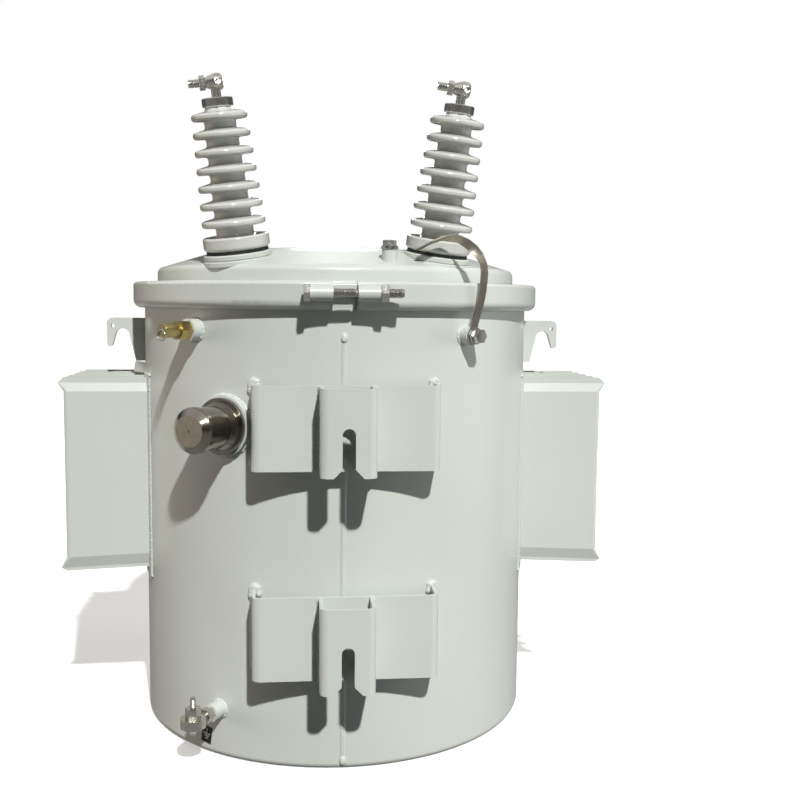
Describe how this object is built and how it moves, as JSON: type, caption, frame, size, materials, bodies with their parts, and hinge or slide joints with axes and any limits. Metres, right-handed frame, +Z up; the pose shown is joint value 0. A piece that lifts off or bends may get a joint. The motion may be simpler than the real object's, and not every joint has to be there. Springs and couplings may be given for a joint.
{
  "type": "pole mounted transformer",
  "caption": "Round grey distribution transformer with pole brackets, cooling fins, lifting hooks and tall porcelain bushings on its clamped cover.",
  "frame": {"origin": "on the floor plane under the tank's axis", "axes": "+Z up along the tank, the pole brackets on the -Y side, +X to the right seen from the pole side"},
  "size_m": [0.854, 0.8287, 0.9605],
  "materials": {
    "tank_paint": "light grey gloss paint",
    "zinc_steel": "zinc plated steel fasteners",
    "gasket": "black oil resistant rubber",
    "porcelain": "light grey glazed porcelain",
    "lv_porcelain": "light grey glazed porcelain",
    "tinned_metal": "tin plated metal",
    "strap_steel": "plain metal strap",
    "brass": "machined brass",
    "ring_steel": "bright steel wire",
    "stainless": "turned stainless steel"
  },
  "bodies": {
    "root": {"tank_shell": "tank_paint", "tank_base": "tank_paint", "cover": "tank_paint", "clamp_band": "tank_paint", "band_lug_left": "tank_paint", "band_lug_right": "tank_paint", "band_bolt": "zinc_steel", "band_nut": "zinc_steel", "upper_bracket_plate": "tank_paint", "upper_bracket_channel": "tank_paint", "lower_bracket_plate": "tank_paint", "lower_bracket_channel": "tank_paint", "lifting_hook_left": "tank_paint", "lifting_hook_right": "tank_paint", "radiator_left": "tank_paint", "radiator_right": "tank_paint", "hv_seat_left": "tank_paint", "hv_seat_right": "tank_paint", "hv_gasket_left": "gasket", "hv_gasket_right": "gasket", "hv_bushing_left": "porcelain", "hv_bushing_right": "porcelain", "hv_cap_left": "tinned_metal", "hv_cap_right": "tinned_metal", "hv_terminal_left": "tinned_metal", "hv_terminal_right": "tinned_metal", "cover_boss": "tank_paint", "cover_bolt": "zinc_steel", "strap_boss": "tank_paint", "strap_bolt": "zinc_steel", "ground_strap": "strap_steel", "relief_boss": "tank_paint", "relief_valve": "brass", "relief_ring": "ring_steel", "tap_boss": "tank_paint", "tap_ring": "stainless", "tap_cap": "stainless", "ground_boss": "tank_paint", "ground_clamp": "tinned_metal", "ground_nut": "tinned_metal", "side_tab": "tank_paint", "lv_bushing_1": "lv_porcelain", "lv_bushing_2": "lv_porcelain", "lv_bushing_3": "lv_porcelain", "lv_terminal_1": "tinned_metal", "lv_terminal_2": "tinned_metal", "lv_terminal_3": "tinned_metal"}
  },
  "joints": []
}
